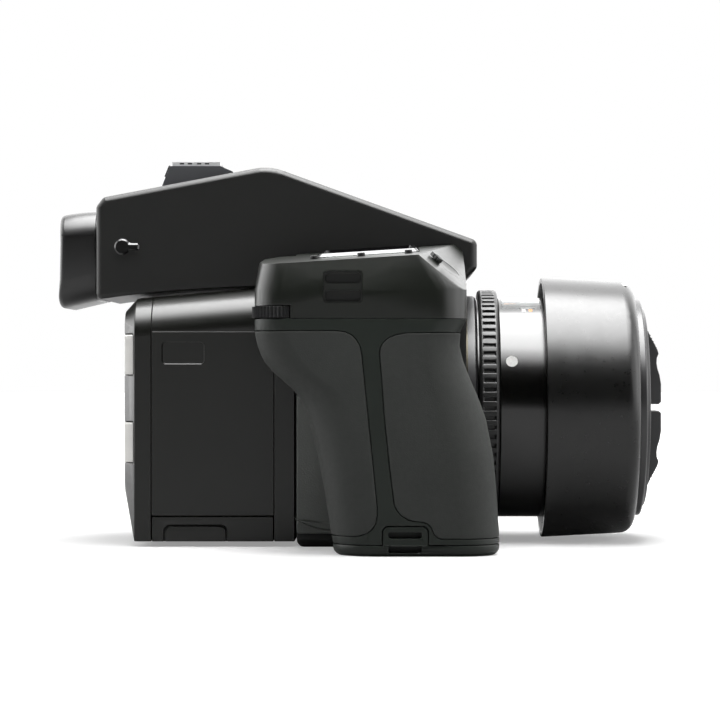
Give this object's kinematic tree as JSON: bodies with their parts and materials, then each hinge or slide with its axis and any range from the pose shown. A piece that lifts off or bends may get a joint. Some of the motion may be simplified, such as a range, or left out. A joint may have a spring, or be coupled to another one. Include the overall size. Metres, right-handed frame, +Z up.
{
  "type": "medium format digital camera",
  "caption": "Medium format reflex camera with prism finder, digital back, rubber covered hand grip and a short lens with reversed hood and pinch cap.",
  "frame": {"origin": "mouth of the large tripod thread, on the base plane the camera stands on", "axes": "+X forward along the optical axis, +Y to the far side of the camera, away from the grip, +Z up"},
  "size_m": [0.2029, 0.1508, 0.128],
  "materials": {
    "die_cast_black": "matte",
    "black_shell": "matte",
    "charcoal_shell": "satin",
    "grip_rubber": "matte",
    "eyecup_rubber": "matte",
    "satin_metal": "satin",
    "back_metal": "satin",
    "lens_black": "satin",
    "hood_plastic": "matte",
    "inner_black": "matte",
    "silver_key": "satin",
    "clear_glass": "clear",
    "screen_glass": "glossy",
    "mirror_glass": "mirror",
    "cell_pack": "matte"
  },
  "bodies": {
    "camera": {"body_frame": "die_cast_black", "base_plate": "black_shell", "tripod_plate": "satin_metal", "right_side_cover": "grip_rubber", "left_cover": "grip_rubber", "left_shoulder": "charcoal_shell", "sync_terminal": "satin_metal", "prism_housing": "black_shell", "pentaprism": "clear_glass", "focusing_screen": "clear_glass", "eyepiece_lens": "clear_glass", "eyecup": "eyecup_rubber", "shoe_block": "charcoal_shell", "accessory_shoe": "satin_metal", "top_cover": "charcoal_shell", "status_window": "clear_glass", "grip_core": "charcoal_shell", "grip_frame": "charcoal_shell", "grip_rubber_rear": "grip_rubber", "grip_rubber_front": "grip_rubber", "grip_base": "charcoal_shell", "lens_mount": "satin_metal", "ridged_ring": "lens_black", "lens_barrel": "lens_black", "distance_window": "clear_glass", "rear_lens": "clear_glass", "iris": "inner_black", "shutter_frame": "inner_black", "shutter_curtain": "satin_metal", "back_adapter": "back_metal", "back_shell": "back_metal", "side_panel": "back_metal", "rear_cover": "back_metal", "rear_screen": "screen_glass", "image_sensor": "inner_black"},
    "mode_dial": {"mode_dial": "black_shell"},
    "eyepiece_blind": {"blind_lever": "black_shell", "blind_flap": "inner_black"},
    "top_button_rear": {"top_button_rear": "inner_black"},
    "top_button_middle": {"top_button_middle": "inner_black"},
    "top_button_front": {"top_button_front": "inner_black"},
    "shutter_button": {"shutter_button": "charcoal_shell"},
    "drive_lever": {"drive_lever": "black_shell"},
    "rear_dial": {"rear_dial": "black_shell"},
    "grip_battery": {"grip_battery": "cell_pack"},
    "battery_lock": {"battery_lock": "satin_metal"},
    "lens_release_button": {"lens_release_button": "black_shell"},
    "focus_ring": {"focus_ring": "grip_rubber"},
    "focus_group": {"focus_cell": "lens_black", "front_lens": "clear_glass"},
    "lens_hood": {"lens_hood": "hood_plastic"},
    "lens_cap": {"lens_cap": "hood_plastic"},
    "cap_tab_upper": {"cap_tab_upper": "hood_plastic"},
    "cap_tab_lower": {"cap_tab_lower": "hood_plastic"},
    "reflex_mirror": {"reflex_mirror": "mirror_glass"},
    "back_button_near_upper": {"back_button_near_upper": "silver_key"},
    "back_button_near_lower": {"back_button_near_lower": "silver_key"},
    "back_button_far_upper": {"back_button_far_upper": "silver_key"},
    "back_button_far_lower": {"back_button_far_lower": "silver_key"},
    "back_battery": {"back_battery": "cell_pack"}
  },
  "joints": [
    {"name": "shutter_press", "type": "slide", "parent": "camera", "child": "shutter_button", "axis": [-0.6151, 0.2113, -0.7596], "range_m": [0, 0.0015], "stiffness_N_per_m": 500, "springref_m": -0.00075},
    {"name": "drive_turn", "type": "hinge", "parent": "camera", "child": "drive_lever", "pos_m": [0.0196, -0.073, 0.0902], "axis": [0.6151, -0.2113, 0.7596], "range_deg": [0, 40]},
    {"name": "rear_dial_turn", "type": "hinge", "parent": "camera", "child": "rear_dial", "pos_m": [-0.0334, -0.0842, 0.0758], "axis": [0, 0, 1], "continuous": true},
    {"name": "mode_dial_turn", "type": "hinge", "parent": "camera", "child": "mode_dial", "pos_m": [-0.006, 0.0454, 0.095], "axis": [0, 0, 1], "continuous": true},
    {"name": "top_press_rear", "type": "slide", "parent": "camera", "child": "top_button_rear", "axis": [0.0622, 0.0878, -0.9942], "range_m": [0, 0.0008], "stiffness_N_per_m": 300, "springref_m": -0.0004},
    {"name": "top_press_middle", "type": "slide", "parent": "camera", "child": "top_button_middle", "axis": [0.0622, 0.0878, -0.9942], "range_m": [0, 0.0008], "stiffness_N_per_m": 300, "springref_m": -0.0004},
    {"name": "top_press_front", "type": "slide", "parent": "camera", "child": "top_button_front", "axis": [0.0622, 0.0878, -0.9942], "range_m": [0, 0.0008], "stiffness_N_per_m": 300, "springref_m": -0.0004},
    {"name": "blind_turn", "type": "hinge", "parent": "camera", "child": "eyepiece_blind", "pos_m": [-0.0872, -0.033, 0.0983], "axis": [0, 1, 0], "range_deg": [0, 90]},
    {"name": "focus_turn", "type": "hinge", "parent": "camera", "child": "focus_ring", "pos_m": [0.066, 0, 0.045], "axis": [1, 0, 0], "range_deg": [0, 150]},
    {"name": "focus_slide", "type": "slide", "parent": "camera", "child": "focus_group", "axis": [1, 0, 0], "range_m": [0, 0.003]},
    {"name": "hood_twist", "type": "hinge", "parent": "camera", "child": "lens_hood", "pos_m": [0.08, 0, 0.045], "axis": [1, 0, 0], "range_deg": [0, 60]},
    {"name": "cap_pull", "type": "slide", "parent": "camera", "child": "lens_cap", "axis": [1, 0, 0], "range_m": [0, 0.012]},
    {"name": "cap_squeeze_upper", "type": "slide", "parent": "lens_cap", "child": "cap_tab_upper", "axis": [0, 0, -1], "range_m": [0, 0.0008], "stiffness_N_per_m": 500, "springref_m": -0.0004},
    {"name": "cap_squeeze_lower", "type": "slide", "parent": "lens_cap", "child": "cap_tab_lower", "axis": [0, 0, 1], "range_m": [0, 0.0008], "stiffness_N_per_m": 500, "springref_m": -0.0004},
    {"name": "grip_battery_slide", "type": "slide", "parent": "camera", "child": "grip_battery", "axis": [0, 0, -1], "range_m": [0, 0.062]},
    {"name": "battery_lock_turn", "type": "hinge", "parent": "grip_battery", "child": "battery_lock", "pos_m": [0.0022, -0.0688, 0.002], "axis": [0, 0, 1], "range_deg": [0, 90]},
    {"name": "lens_release_press", "type": "slide", "parent": "camera", "child": "lens_release_button", "axis": [-1, 0, 0], "range_m": [0, 0.002], "stiffness_N_per_m": 400, "springref_m": -0.001},
    {"name": "mirror_swing", "type": "hinge", "parent": "camera", "child": "reflex_mirror", "pos_m": [-0.0224, 0, 0.067], "axis": [0, -1, 0], "range_deg": [0, 45], "stiffness_Nm_per_rad": 0.02, "springref_deg": -28.65},
    {"name": "back_press_near_upper", "type": "slide", "parent": "camera", "child": "back_button_near_upper", "axis": [1, 0, 0], "range_m": [0, 0.0008], "stiffness_N_per_m": 300, "springref_m": -0.0004},
    {"name": "back_press_near_lower", "type": "slide", "parent": "camera", "child": "back_button_near_lower", "axis": [1, 0, 0], "range_m": [0, 0.0008], "stiffness_N_per_m": 300, "springref_m": -0.0004},
    {"name": "back_press_far_upper", "type": "slide", "parent": "camera", "child": "back_button_far_upper", "axis": [1, 0, 0], "range_m": [0, 0.0008], "stiffness_N_per_m": 300, "springref_m": -0.0004},
    {"name": "back_press_far_lower", "type": "slide", "parent": "camera", "child": "back_button_far_lower", "axis": [1, 0, 0], "range_m": [0, 0.0008], "stiffness_N_per_m": 300, "springref_m": -0.0004},
    {"name": "back_battery_slide", "type": "slide", "parent": "camera", "child": "back_battery", "axis": [0, 0, -1], "range_m": [0, 0.066]}
  ],
  "couplings": [
    {"joint": "focus_slide", "follows": "focus_turn", "m_per_rad": 0.0011459}
  ]
}
